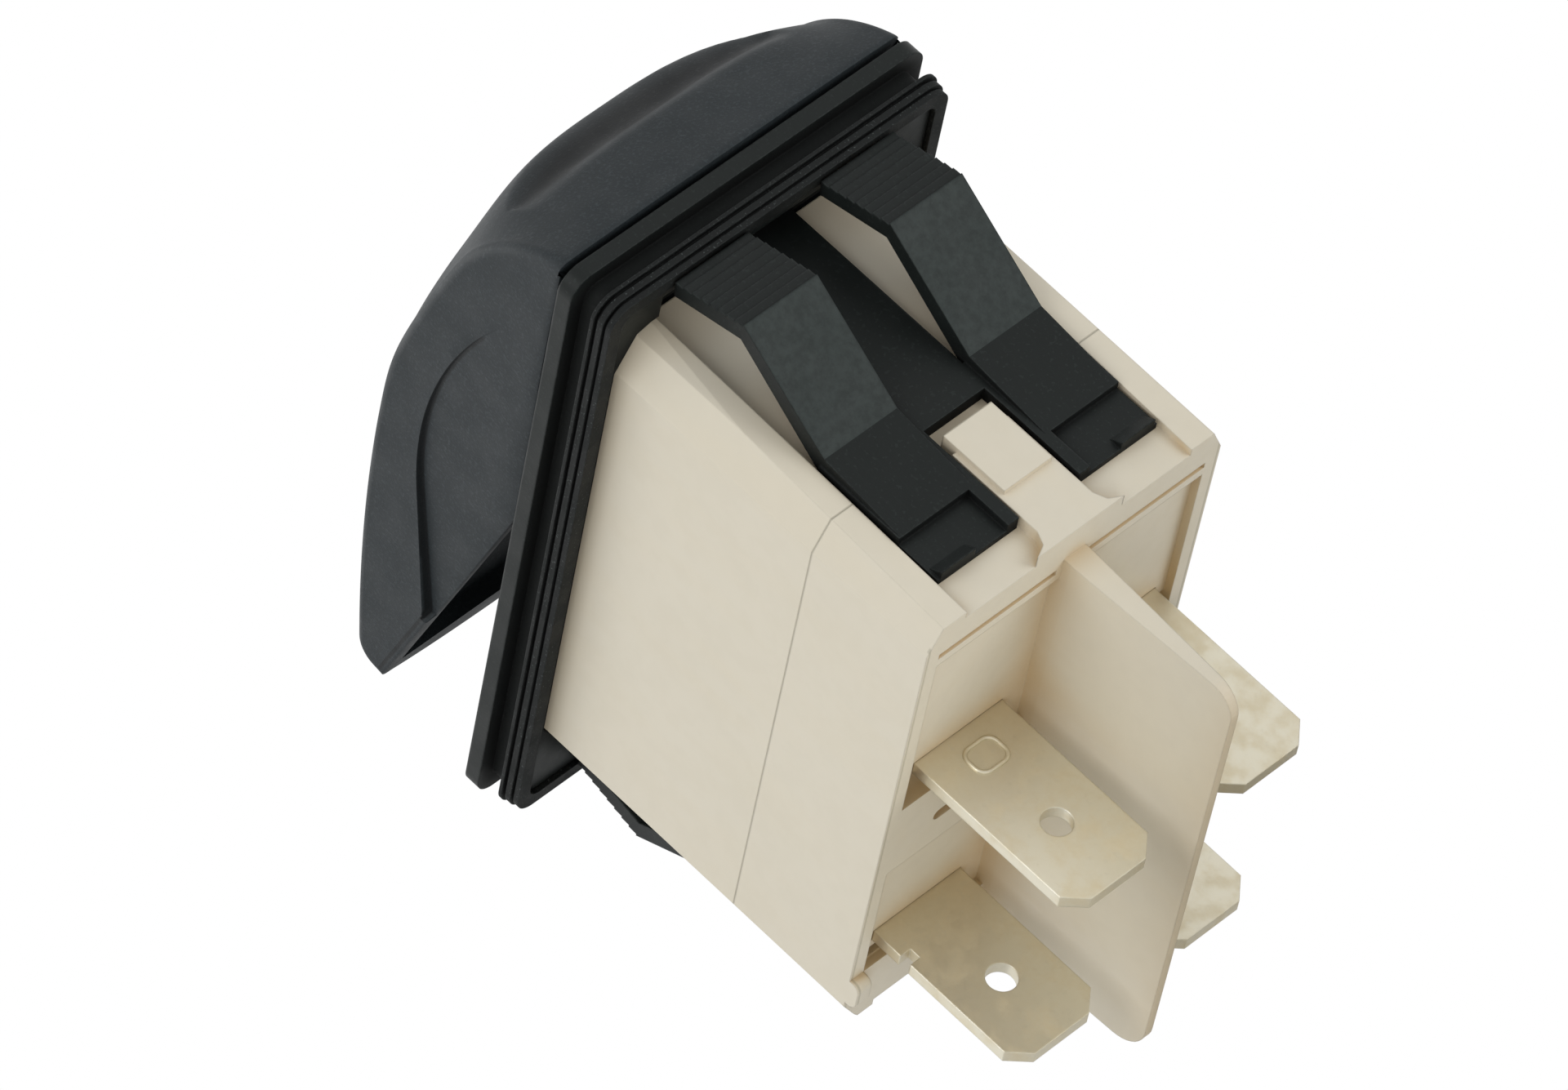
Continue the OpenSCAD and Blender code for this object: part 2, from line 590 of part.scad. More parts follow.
// Sprung plunger in its tube, and its spring
module plunger(s) {
    color([0.9, 0.89, 0.85]) rocked() translate([0, s * pole_y, 0]) union() {
        translate([0, 0, tip_z + plunger_r]) sphere(r = plunger_r);
        translate([0, 0, tip_z + plunger_r]) cylinder(r = plunger_r, h = spring_seat - tip_z - plunger_r);
        translate([0, 0, spring_seat - 0.5]) cylinder(r = plunger_r / 2, h = 2);
    }
}
module plunger_spring(s) {
    turns = 9;
    seg = 14;
    k = 6;
    r = bore_r - wire_d / 2 - 0.12;
    z0 = spring_seat + wire_d / 2;
    h = bore_top - spring_seat - wire_d;
    n = turns * seg;
    pts = [for (i = [0 : n], j = [0 : k - 1])
        let (a = 360 * i / seg, b = 360 * j / k, q = r + wire_d / 2 * cos(b))
        [q * cos(a), q * sin(a), z0 + h * i / n + wire_d / 2 * sin(b)]];
    color([0.7, 0.71, 0.72]) rocked() translate([0, s * pole_y, 0]) polyhedron(pts, concat(
        [[for (j = [0 : k - 1]) j]],
        [for (i = [0 : n - 1], j = [0 : k - 1])
            let (a = i * k + j, b = i * k + (j + 1) % k) [a, a + k, b + k]],
        [for (i = [0 : n - 1], j = [0 : k - 1])
            let (a = i * k + j, b = i * k + (j + 1) % k) [a, b + k, b]],
        [[for (j = [k - 1 : -1 : 0]) n * k + j]]), convexity = 10);
}

rocker_button();
rocker_carrier();
mounting_bracket();
panel_gasket();
housing_seal();
upper_housing();
terminal_base();
common_terminal(-1);  // common_terminal_a
common_terminal(1);  // common_terminal_b
switched_terminal(-1);  // switched_terminal_a
switched_terminal(1);  // switched_terminal_b
fixed_contact(-1);  // fixed_contact_a
fixed_contact(1);  // fixed_contact_b
contact_blade(-1);  // contact_blade_a
contact_blade(1);  // contact_blade_b
moving_contact(-1);  // moving_contact_a
moving_contact(1);  // moving_contact_b
plunger(-1);  // plunger_a
plunger(1);  // plunger_b
plunger_spring(-1);  // plunger_spring_a
plunger_spring(1);  // plunger_spring_b
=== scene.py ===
"""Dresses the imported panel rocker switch: moulded plastics, ribbed rubber, tin plate and a soft studio."""

import math

import bpy
from mathutils import Matrix, Vector


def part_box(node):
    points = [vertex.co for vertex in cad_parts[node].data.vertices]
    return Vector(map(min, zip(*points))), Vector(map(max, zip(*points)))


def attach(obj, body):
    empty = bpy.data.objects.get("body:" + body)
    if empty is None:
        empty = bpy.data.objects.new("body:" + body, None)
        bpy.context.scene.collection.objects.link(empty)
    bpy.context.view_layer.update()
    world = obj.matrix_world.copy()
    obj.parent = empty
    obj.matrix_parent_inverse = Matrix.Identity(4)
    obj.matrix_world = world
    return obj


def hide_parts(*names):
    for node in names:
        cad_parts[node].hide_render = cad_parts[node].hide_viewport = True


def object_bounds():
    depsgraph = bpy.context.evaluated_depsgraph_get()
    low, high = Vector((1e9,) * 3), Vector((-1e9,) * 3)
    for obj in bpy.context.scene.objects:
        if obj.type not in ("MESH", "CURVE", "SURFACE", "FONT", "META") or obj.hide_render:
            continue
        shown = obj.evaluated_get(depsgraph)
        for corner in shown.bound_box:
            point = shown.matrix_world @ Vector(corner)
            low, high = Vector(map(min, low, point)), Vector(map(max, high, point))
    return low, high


bl_info = {
    "name": "Panel rocker switch",
    "version": (1, 0, 0),
    "blender": (4, 5, 0),
    "location": "View3D > Sidebar > Rocker switch",
    "description": "Builds the looks of a panel-mounted rocker switch on its packed frame",
    "category": "Object",
}

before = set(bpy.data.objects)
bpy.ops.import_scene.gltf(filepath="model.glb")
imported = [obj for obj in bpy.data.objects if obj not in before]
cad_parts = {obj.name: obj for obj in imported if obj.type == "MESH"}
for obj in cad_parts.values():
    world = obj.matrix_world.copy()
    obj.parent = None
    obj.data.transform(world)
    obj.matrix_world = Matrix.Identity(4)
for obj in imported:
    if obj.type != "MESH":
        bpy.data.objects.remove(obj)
CAD_BOX = [list(corner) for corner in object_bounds()]
MM = 0.001

# Places on the switch, in millimetres from its origin in the panel's plane
SEAM_Z = -13.95
FLOOR_Z = -21.6
LATCH_POCKETS = ((1.4, 9.0, FLOOR_Z), (-12.5, 8.0, FLOOR_Z))
RIM_Y, RIM_TOP_Z = 10.31, -22.0
TAB_ROOT_Z, TAB_TIP_Z = -22.0, -27.5


# Shader maths


class Value:
    """One socket of a node tree, with arithmetic that adds Math nodes."""

    def __init__(self, shader, socket):
        self.shader = shader
        self.socket = socket

    def maths(self, operation, *others):
        return self.shader.node("ShaderNodeMath", {"operation": operation}, dict(enumerate((self, *others))))

    def __add__(self, other):
        return self.maths("ADD", other)

    def __sub__(self, other):
        return self.maths("SUBTRACT", other)

    def __mul__(self, other):
        return self.maths("MULTIPLY", other)

    def __rsub__(self, other):
        return self.shader.node("ShaderNodeMath", {"operation": "SUBTRACT"}, {0: other, 1: self})

    __radd__ = __add__
    __rmul__ = __mul__

    def abs(self):
        return self.maths("ABSOLUTE")

    def most(self, other):
        return self.maths("MAXIMUM", other)

    def between(self, low, high, to_low=0.0, to_high=1.0):
        """Smoothly maps low..high to to_low..to_high, and holds the ends."""
        return self.shader.node(
            "ShaderNodeMapRange",
            {"interpolation_type": "SMOOTHSTEP", "clamp": True},
            {"Value": self, "From Min": low, "From Max": high, "To Min": to_low, "To Max": to_high},
        )


class Nodes:
    """A node tree, emptied first, with one method that makes every node."""

    def __init__(self, tree):
        self.tree = tree
        tree.nodes.clear()

    def node(self, kind, settings=None, sockets=None, out=0):
        """Adds a node, sets its settings and then its sockets, and returns one of its outputs."""
        node = self.tree.nodes.new(kind)
        for key, value in (settings or {}).items():
            setattr(node, key, value)
        for key, value in (sockets or {}).items():
            socket = self.socket(node.inputs, key)
            if isinstance(value, Value):
                self.tree.links.new(value.socket, socket)
            elif socket.type == "RGBA" and len(value) == 3:
                socket.default_value = (*value, 1.0)
            else:
                socket.default_value = value
        return Value(self, self.socket(node.outputs, out)) if node.outputs else None

    @staticmethod
    def socket(sockets, key):
        """A socket by its number, its identifier or its name."""
        if isinstance(key, int):
            return sockets[key]
        for socket in sockets:
            if socket.identifier == key:
                return socket
        return sockets[key]


class Shader(Nodes):
    """A new material's nodes."""

    def __init__(self, name):
        self.material = bpy.data.materials.new(name)
        self.material.use_nodes = True
        super().__init__(self.material.node_tree)

    def place(self):
        """The place on the surface, in metres in the switch's own frame."""
        return self.node("ShaderNodeTexCoord", out="Object")

    def split(self, vector):
        """A vector's three components."""
        return [self.node("ShaderNodeSeparateXYZ", None, {0: vector}, out=i) for i in range(3)]

    def facing(self):
        """The surface normal, in the switch's own frame."""
        return self.node("ShaderNodeTexCoord", out="Normal")

    def stretched(self, x, y, z):
        """The place scaled along each axis, so that a noise is drawn out where the scale is small."""
        sockets = {0: self.place(), 1: (x, y, z)}
        return self.node("ShaderNodeVectorMath", {"operation": "MULTIPLY"}, sockets)

    def noise(self, size, detail=2.0, rough=0.5, vector=None):
        """Noise whose blotches are about size metres across."""
        sockets = {"Vector": vector or self.place(), "Scale": 1.0 / size}
        sockets |= {"Detail": detail, "Roughness": rough}
        return self.node("ShaderNodeTexNoise", {"noise_dimensions": "3D"}, sockets)

    def mark(self, name):
        """A number that the mesh carries at its points."""
        return self.node("ShaderNodeAttribute", {"attribute_name": name}, out="Fac")

    def blend(self, factor, colour_a, colour_b):
        """colour_a where the factor is 0, colour_b where it is 1."""
        return self.node(
            "ShaderNodeMix",
            {"data_type": "RGBA", "blend_type": "MIX", "clamp_factor": True},
            {"Factor_Float": factor, "A_Color": colour_a, "B_Color": colour_b},
            out="Result_Color",
        )

    def bump(self, height, depth, strength, normal=None):
        """A height of 0..1 that stands depth metres proud."""
        sockets = {"Strength": strength, "Distance": depth, "Height": height}
        if normal is not None:
            sockets["Normal"] = normal
        return self.node("ShaderNodeBump", None, sockets)

    def rounded(self, radius):
        """A normal that rounds every sharp edge by radius metres."""
        return self.node("ShaderNodeBevel", {"samples": 6}, {"Radius": radius})

    def worn_edge(self, radius):
        """1 on sharp edges, 0 on flat faces, over a band of about radius metres."""
        normals = {0: self.rounded(radius), 1: self.node("ShaderNodeNewGeometry", out="Normal")}
        along = self.node("ShaderNodeVectorMath", {"operation": "DOT_PRODUCT"}, normals, out="Value")
        return along.between(0.99, 0.82)

    def nook(self, reach, low, high):
        """An ambient occlusion mask: 1 deep in grooves and corners, 0 in the open, seen over reach metres;
        the finishes paint shade with it.
        """
        sky = self.node("ShaderNodeAmbientOcclusion", {"samples": 8}, {"Distance": reach}, out="AO")
        return sky.between(low, high, 1.0, 0.0)

    def finish(self, **sockets):
        """Wires the surface shader and returns the material."""
        named = {key.replace("_", " "): value for key, value in sockets.items()}
        surface = self.node("ShaderNodeBsdfPrincipled", None, named)
        self.node("ShaderNodeOutputMaterial", None, {"Surface": surface})
        return self.material


# Finishes


def scaled(tone, *factors):
    """A colour times one factor, or times a factor for each channel."""
    return tuple(c * k for c, k in zip(tone, factors * 3 if len(factors) == 1 else factors))


def moulded_grain(s, size):
    """The fine spark-eroded grain of a matt moulding, from 0 to 1."""
    return s.noise(size, 2.0, 0.65)


def charcoal_plastic(looks):
    """Matt charcoal moulding with a fine grain, painted shade in the finger dish and under the arch's step,
    and slightly paler worn edges.
    """
    s = Shader("charcoal_plastic")
    tone = tuple(looks.rocker_colour)
    pale = scaled(tone, 2.1)
    clouds = s.noise(4.2 * MM, 3.0).between(0.3, 0.7)
    grain = moulded_grain(s, 0.16 * MM)
    fleck = s.noise(0.23 * MM, 1.0).between(0.58, 0.72)
    worn = s.mark("edge") * 0.3 * s.noise(0.7 * MM).between(0.4, 0.7)
    colour = s.blend(clouds * 0.35, tone, scaled(tone, 1.16))
    colour = s.blend(grain.between(0.5, 0.72) * 0.5, colour, pale)
    colour = s.blend(fleck * 0.28, colour, pale)
    # Painted shade: darkens the finger dish and the line under the arch's step, where the mesh marks them
    colour = s.blend(s.mark("hollow") * 0.92, colour, scaled(tone, 0.2))
    colour = s.blend(worn, colour, scaled(tone, 1.9))
    rough = s.noise(2.4 * MM).between(0.3, 0.7, 0.54, 0.62) - fleck * 0.05
    return s.finish(
        Base_Color=colour,
        Roughness=rough,
        Specular_IOR_Level=0.24,
        Normal=s.bump(grain + fleck * 0.3, 0.016 * MM, 0.6),
    )


def black_moulding(looks, name, tone_scale=1.0, edge=0.16 * MM, rough=0.42):
    """Satin black moulding: drag marks, grainy pale edges, painted light on the slanted faces and painted
    shade in the grooves.
    """
    s = Shader(name)
    tone = scaled(looks.bracket_colour, tone_scale)
    clouds = s.noise(3.0 * MM, 3.0).between(0.3, 0.7)
    grain = moulded_grain(s, 0.13 * MM)
    speck = s.noise(0.2 * MM, 1.0).between(0.6, 0.72)
    drag = s.noise(0.35 * MM, 2.0, 0.6, s.stretched(1.0, 1.0, 0.12))
    rubbed = s.worn_edge(0.17 * MM) * s.noise(0.26 * MM, 2.0).between(0.36, 0.62)
    toward_x, _, toward_z = s.split(s.facing())
    # Painted light: faces slanted down and out along X, picked by which way they face, are made paler in
    # patches
    slanted = toward_x.abs().between(0.74, 0.8) * (0.0 - toward_z).between(0.36, 0.42)
    painted_slant_light = slanted * s.noise(0.5 * MM, 3.0, 0.6).between(0.25, 0.75, 0.55, 1.0)
    # Painted shade: ambient occlusion darkens grooves and corners almost to black, and also makes them
    # rougher
    shaded_crevices = s.nook(2.2 * MM, 0.35, 0.9)
    colour = s.blend(clouds * 0.4, tone, scaled(tone, 1.3))
    colour = s.blend(drag.between(0.55, 0.8) * 0.3, colour, scaled(tone, 1.6))
    colour = s.blend(speck * 0.4, colour, scaled(tone, 2.6))
    colour = s.blend(rubbed * 0.45, colour, scaled(tone, 4.6))
    # Painted light on the slanted faces
    colour = s.blend(painted_slant_light * 0.8, colour, scaled(tone, 4.4))
    # Painted shade in grooves and corners
    colour = s.blend(shaded_crevices * 0.92, colour, scaled(tone, 0.1))
    return s.finish(
        Base_Color=colour,
        Roughness=clouds.between(0.0, 1.0, rough, rough + 0.1) + shaded_crevices * 0.35,
        Specular_IOR_Level=0.18,
        Normal=s.bump(grain * 0.7 + drag * 0.3, 0.011 * MM, 0.6, s.rounded(edge)),
    )


def gasket_rubber(looks):
    """Soft black rubber with fine ribs, pale lips, painted shade in the folds and dust specks."""
    s = Shader("gasket_rubber")
    tone = tuple(looks.gasket_colour)
    specks = s.noise(0.11 * MM, 1.0).between(0.66, 0.74)
    bloom = s.noise(1.8 * MM, 3.0).between(0.35, 0.7)
    ribs = s.node(
        "ShaderNodeTexWave",
        {"wave_type": "BANDS", "bands_direction": "Z", "wave_profile": "SIN"},
        {"Vector": s.place(), "Scale": 560.0, "Distortion": 0.25, "Detail": 1.0},
        out="Fac",
    )
    lip = s.worn_edge(0.1 * MM) * s.noise(0.3 * MM, 2.0).between(0.3, 0.6)
    colour = s.blend(bloom * 0.5, tone, scaled(tone, 2.0))
    colour = s.blend(specks * 0.8, colour, scaled(tone, 9.0))
    colour = s.blend(lip * 0.5, colour, scaled(tone, 6.0))
    # Painted shade in the folds, from ambient occlusion
    colour = s.blend(s.nook(1.2 * MM, 0.2, 0.75) * 0.9, colour, scaled(tone, 0.15))
    return s.finish(
        Base_Color=colour,
        Roughness=bloom.between(0.0, 1.0, 0.58, 0.74),
        Specular_IOR_Level=0.16,
        Normal=s.bump(ribs + s.noise(0.2 * MM) * 0.4, 0.02 * MM, 0.7, s.rounded(0.1 * MM)),
    )


def near(axes, spot, reach):
    """1 at a spot in millimetres, mirrored over the long axis, 0 past reach millimetres from it."""
    x, y, z = axes
    away = (x - spot[0] * MM).abs().most((y.abs() - spot[1] * MM).abs()).most((z - spot[2] * MM).abs())
    return away.between(reach * 0.4 * MM, reach * MM, 1.0, 0.0)


def line_at(offset, core, fringe):
    """A thin line where the offset is 0, full out to core and gone past fringe millimetres."""
    return offset.abs().between(core * MM, fringe * MM, 1.0, 0.0)


def cream_plastic(looks):
    """Smooth cream moulding: painted shade in ochre in the corners and pockets, thin lines at the seam and
    the rims.
    """
    s = Shader("cream_plastic")
    tone = tuple(looks.housing_colour)
    ochre_shade = tuple(looks.pocket_shade_colour)
    axes = s.split(s.place())
    _, y, z = axes
    clouds = s.noise(7.0 * MM, 2.0).between(0.3, 0.7)
    mottle = s.noise(1.1 * MM, 3.0).between(0.35, 0.7)
    flow = s.noise(1.6 * MM, 3.0, 0.5, s.stretched(1.0, 1.0, 0.2)).between(0.4, 0.75)
    terminal_end = z.between((FLOOR_Z + 1.2) * MM, (FLOOR_Z - 0.1) * MM)
    divider = z.between((FLOOR_Z - 2.4) * MM, (FLOOR_Z - 9.4) * MM, 1.0, 0.25)
    # Painted shade: ambient occlusion turns corners ochre, most at the terminal end and less down the
    # divider
    corners = s.nook(4.0 * MM, 0.25, 0.95) * divider * (0.3 + 0.6 * terminal_end)
    pockets = near(axes, LATCH_POCKETS[0], 1.7).most(near(axes, LATCH_POCKETS[1], 1.3) * 0.8)
    rim = line_at(y.abs() - RIM_Y * MM, 0.03, 0.1) * z.between(RIM_TOP_Z * MM, (RIM_TOP_Z - 0.1) * MM)
    line = line_at(z - SEAM_Z * MM, 0.03, 0.09).most(rim)
    colour = s.blend(clouds * 0.35, tone, scaled(tone, 0.96, 0.955, 0.94))
    colour = s.blend(mottle * 0.16, colour, scaled(tone, 0.93))
    colour = s.blend(flow * 0.14, colour, scaled(tone, 1.0, 0.96, 0.88))
    colour = s.blend(corners, colour, ochre_shade)
    # Painted shade, darker ochre, deep in the two latch pockets
    colour = s.blend(pockets * s.nook(1.6 * MM, 0.2, 0.9) * 0.85, colour, scaled(ochre_shade, 0.55))
    colour = s.blend(line * 0.42, colour, scaled(tone, 0.42, 0.42, 0.36))
    grain = s.noise(0.22 * MM, 2.0)
    return s.finish(
        Base_Color=colour,
        Roughness=mottle.between(0.0, 1.0, 0.40, 0.50),
        Specular_IOR_Level=0.3,
        Normal=s.bump(grain + clouds * 0.8 - line * 2.0, 0.008 * MM, 0.5, s.rounded(0.14 * MM)),
    )


def tinned_brass(looks):
    """Satin tin plate over brass, with soft rolling lines and stained patches."""
    s = Shader("tinned_brass")
    tone, stained = tuple(looks.terminal_colour), tuple(looks.stain_colour)
    _, _, z = s.split(s.place())
    stain = s.noise(1.7 * MM, 4.0, 0.6).between(0.38, 0.72)
    rolling = s.noise(0.12 * MM, 3.0, 0.6, s.stretched(1.0, 1.0, 0.08))
    clouds = s.noise(0.7 * MM, 3.0).between(0.35, 0.7)
    spots = s.noise(0.4 * MM, 2.0).between(0.6, 0.72)
    root = z.between(TAB_TIP_Z * MM, TAB_ROOT_Z * MM)
    colour = s.blend(stain * 0.6, tone, stained)
    # The plate turns darker and warmer towards the tab's root
    colour = s.blend(root * 0.4, colour, stained)
    colour = s.blend(spots * 0.2, colour, scaled(tone, 0.82))
    colour = s.blend(s.worn_edge(0.12 * MM) * clouds * 0.5, colour, (0.86, 0.85, 0.78))
    return s.finish(
        Base_Color=colour,
        Roughness=stain.between(0.0, 1.0, 0.34, 0.46) + rolling * 0.05,
        Metallic=stain.between(0.0, 1.0, 0.78, 0.64),
        Normal=s.bump(rolling * 0.5 + stain * 0.5 + clouds * 0.3, 0.004 * MM, 0.6, s.rounded(0.12 * MM)),
    )


def plain_metal(name, tone, rough, line=0.08 * MM):
    """Drawn or stamped bright metal with fine lines and a faint tarnish."""
    s = Shader(name)
    tarnish = s.noise(0.9 * MM, 3.0).between(0.35, 0.75)
    lines = s.noise(line, 2.0, 0.6, s.stretched(0.1, 1.0, 1.0))
    return s.finish(
        Base_Color=s.blend(tarnish * 0.5, tone, scaled(tone, 0.7)),
        Roughness=tarnish.between(0.0, 1.0, rough, rough + 0.14),
        Metallic=1.0,
        Normal=s.bump(lines, 0.003 * MM, 0.5),
    )


def natural_nylon():
    """Slightly glossy natural plastic of the plungers, with rubbed paler bands."""
    s = Shader("natural_nylon")
    rubbed = s.noise(0.8 * MM, 3.0).between(0.4, 0.7)
    return s.finish(
        Base_Color=s.blend(rubbed * 0.5, (0.8, 0.78, 0.7), (0.87, 0.86, 0.8)),
        Roughness=rubbed.between(0.0, 1.0, 0.28, 0.4),
        Normal=s.bump(s.noise(0.15 * MM), 0.003 * MM, 0.4),
    )


# Shape helpers


def new_piece(name, points, faces, material, body, slot, smooth, marks=None):
    """A mesh piece in metres from points in millimetres, smooth up to an angle, riding on a body."""
    mesh = bpy.data.meshes.new(name)
    mesh.from_pydata([tuple(c * MM for c in p) for p in points], [], faces)
    mesh.validate()
    mesh.update()
    for mark, values in (marks or {}).items():
        mesh.attributes.new(mark, "FLOAT", "POINT").data.foreach_set("value", values)
    mesh.shade_smooth()
    mesh.set_sharp_from_angle(angle=math.radians(smooth))
    mesh.materials.append(material)
    piece = bpy.data.objects.new(name, mesh)
    bpy.context.scene.collection.objects.link(piece)
    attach(piece, body)
    return piece


def loop_tube(name, centre, half, corner, thick, material, slot):
    """A round bead of radius thick along an upright rounded rectangle that faces +X, on the still body."""
    sides, corner_steps = 8, 6
    path = []
    for sign_y, sign_z, start in ((1, 1, 0), (-1, 1, 90), (-1, -1, 180), (1, -1, 270)):
        for i in range(corner_steps + 1):
            angle = math.radians(start + 90 / corner_steps * i)
            way = Vector((0.0, math.cos(angle), math.sin(angle)))
            middle = Vector((0.0, sign_y * (half[0] - corner), sign_z * (half[1] - corner)))
            path.append((Vector(centre) + middle + way * corner, way))
    points, faces = [], []
    for spot, way in path:
        for k in range(sides):
            angle = 2 * math.pi * k / sides
            outward = Vector((thick * math.sin(angle), 0.0, 0.0))
            points.append(spot + way * thick * math.cos(angle) + outward)
    for i in range(len(path)):
        here, there = i * sides, (i + 1) % len(path) * sides
        for k in range(sides):
            beside = (k + 1) % sides
            faces.append((here + k, there + k, there + beside, here + beside))
    return new_piece(name, points, faces, material, "housing", slot, 180.0)


def dress(nodes, material):
    """Gives CAD nodes a finish of their own."""
    for name in nodes:
        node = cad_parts[name]
        node.data.materials.clear()
        node.data.materials.append(material)


# The button's form, in millimetres


def turn(p, h, r, a):
    """A point after a clockwise arc of a degrees and radius r from heading h."""
    s, c = (lambda v: math.sin(math.radians(v))), (lambda v: math.cos(math.radians(v)))
    return (p[0] + r * (s(h) - s(h - a)), p[1] + r * (c(h - a) - c(h)))


def arc(p, h, r, a, n):
    """n + 1 points with headings along that arc."""
    return [(*turn(p, h, r, a * i / n), h - a * i / n) for i in range(n + 1)]


def fade(t):
    """1 before t = 0 and 0 after t = 1, with a smooth way down between."""
    return 1.0 if t <= 0 else 0.0 if t >= 1 else 1 - t * t * (3 - 2 * t)


def rise(t):
    """0 before t = 0 and 1 after t = 1, with a smooth way up between."""
    return 1.0 - fade(t)


def height_on(line, x, base=0.0):
    """The height at x of a line of (x, z) points, over a base height."""
    for (x0, z0), (x1, z1) in zip(line, line[1:]):
        if x0 <= x <= x1 and x1 > x0:
            return base + z0 + (z1 - z0) * (x - x0) / (x1 - x0)
    return base + line[-1][1]


class ButtonForm:
    """The level button's crowned side profile, with its dish, rolled end and arched sides.

    Sizes are in millimetres, angles in degrees, and shares of the half width or half length.
    The heel is the raised end at -X, and the roll is the pressed end at +X.
    """

    half_length, half_width = 21.8, 11.95
    apex, edge_slope, ceiling = 3.95, 8.6, 10.41
    pivot, rest_angle = 2.0, 9.0
    heel = (-21.7, 0.75)
    # Heading, radius, turn and steps of each arc over the top
    profile_arcs = (
        (90, 1.75, 72.4, 14),
        (17.6, 113.4, 11.1, 60),
        (6.5, 12, 10.5, 10),
        (-4, 95, 6.5, 32),
        (-10.5, 11.48, 48.4, 44),
        (-58.9, 0.6, 31.1, 8),
    )
    profile_shift = 0.1
    crest_low, crest_high, crest_reach = -4.0, 6.0, 2.2
    crown_share_of_width, crown_power = 0.937, 3
    brow_x, brow_reach, brow_share_of_width = 14, 6, 0.7
    dish_x, dish_run_back, dish_run_front, dish_share_of_width = 16.8, 2.4, 2, 0.77
    arch_foot, arch_tip, arch_end = (-13.9, 2.4), (14.4, 4.3), 14.3
    arch_slope, arch_shoulder, arch_back_radius = 20.5, 9.5, 22
    arch_front_radius, arch_front_turn = 26, 27
    arch_blend, arch_fade_x, arch_fade_share = 0.1, 13.5, 1.27

    def __init__(self, sizes):
        self.sizes = sizes
        self.end = self.apex + self.half_length * math.tan(math.radians(self.edge_slope))
        q = self.heel
        self.profile = [(q[0], q[1] * i / 4, 90.0) for i in range(5)]
        for h, r, a, n in self.profile_arcs:
            self.profile += arc(q, h, r, a, n)[1:]
            q = turn(q, h, r, a)
        self.soften(self.crest_low, self.crest_high, self.crest_reach)
        self.arch_line = self.arch_points()

    def soften(self, low, high, reach):
        """Averages the profile's height over reach millimetres each way, between low and high."""
        line = [(x, z) for x, z, _ in self.profile]
        for i, (x, z, h) in enumerate(self.profile):
            share = rise((x - low) / reach) * rise((high - x) / reach)
            if share > 0.0:
                spots = [x + reach * k / 8 for k in range(-8, 9)]
                mean = sum(height_on(line, spot) for spot in spots) / len(spots)
                self.profile[i] = (x, z + (mean - z) * share, h)

    def arch_points(self):
        """The line over the arched panel: a straight shoulder, two arcs and a run to its tip."""
        (x, z), slope = self.arch_foot, self.arch_slope
        c, s = math.cos(math.radians(slope)), math.sin(math.radians(slope))
        shoulder = (x + self.arch_shoulder * c, z + self.arch_shoulder * s)
        crest = turn(shoulder, slope, self.arch_back_radius, slope)
        line = arc(shoulder, slope, self.arch_back_radius, slope, 16)
        line += arc(crest, 0, self.arch_front_radius, self.arch_front_turn, 20)[1:]
        return [self.arch_foot] + [spot[:2] for spot in line] + [self.arch_tip]

    def crown_share(self, x):
        """The share of the crown's rise along the button, least past its middle."""
        if x < 0:
            return 0.35 + 0.65 * fade((-x / self.half_length - 0.5) * 2)
        return 0.1 + 0.9 * fade((x / self.half_length - 0.7) / 0.3)

    def lift(self, x, y):
        """How far the skin stands off the edge profile, without the rounded long edges."""
        u = abs(y) / self.half_width
        across = max(0.0, 1 - (u / self.crown_share_of_width) ** self.crown_power)
        height = self.sizes.crown / MM * self.crown_share(x) * across
        t = (x - self.brow_x) / self.brow_reach
        if abs(t) < 1:
            across = max(0.0, 1 - (u / self.brow_share_of_width) ** self.crown_power)
            height += self.sizes.brow / MM * (1 - t * t) ** 2 * across
        return height - self.dish(x, y)

    def dish(self, x, y):
        """Depth of the finger dish, a crescent that runs out to a point at each end."""
        reach = 1 - (y / self.half_width / self.dish_share_of_width) ** 2
        if reach <= 0:
            return 0.0
        reach = math.sqrt(reach)
        back = self.dish_x - self.dish_run_back * reach
        if x < self.dish_x:
            return self.sizes.dish / MM * reach * fade((self.dish_x - x) / (self.dish_x - back))
        return self.sizes.dish / MM * reach * fade((x - self.dish_x) / self.dish_run_front)

    def bottom(self, x):
        """Height of the button's lower edge, lowest at the middle."""
        return self.apex + (self.end - self.apex) * abs(x) / self.half_length

    def arch(self, x):
        """Height of the arch line, held past its ends."""
        return height_on(self.arch_line, min(max(x, self.arch_foot[0]), self.arch_end), self.apex)

    def recess(self, x, z):
        """Depth of the arched panel at a place on the side."""
        fade_length = self.half_length * self.arch_fade_share
        depth = max(0.0, (self.arch_fade_x - x) * self.sizes.arch / MM / fade_length)
        below = rise((self.arch(x) - z) / self.arch_blend + 0.5)
        return depth * below * rise((x - self.arch_foot[0]) / self.arch_blend + 0.5)

    def rocked(self, p):
        """A point of the level button, turned to the button's rest."""
        c, s = math.cos(math.radians(self.rest_angle)), math.sin(math.radians(self.rest_angle))
        z = p[2] - self.pivot
        return (p[0] * c + z * s, p[1], self.pivot - p[0] * s + z * c)


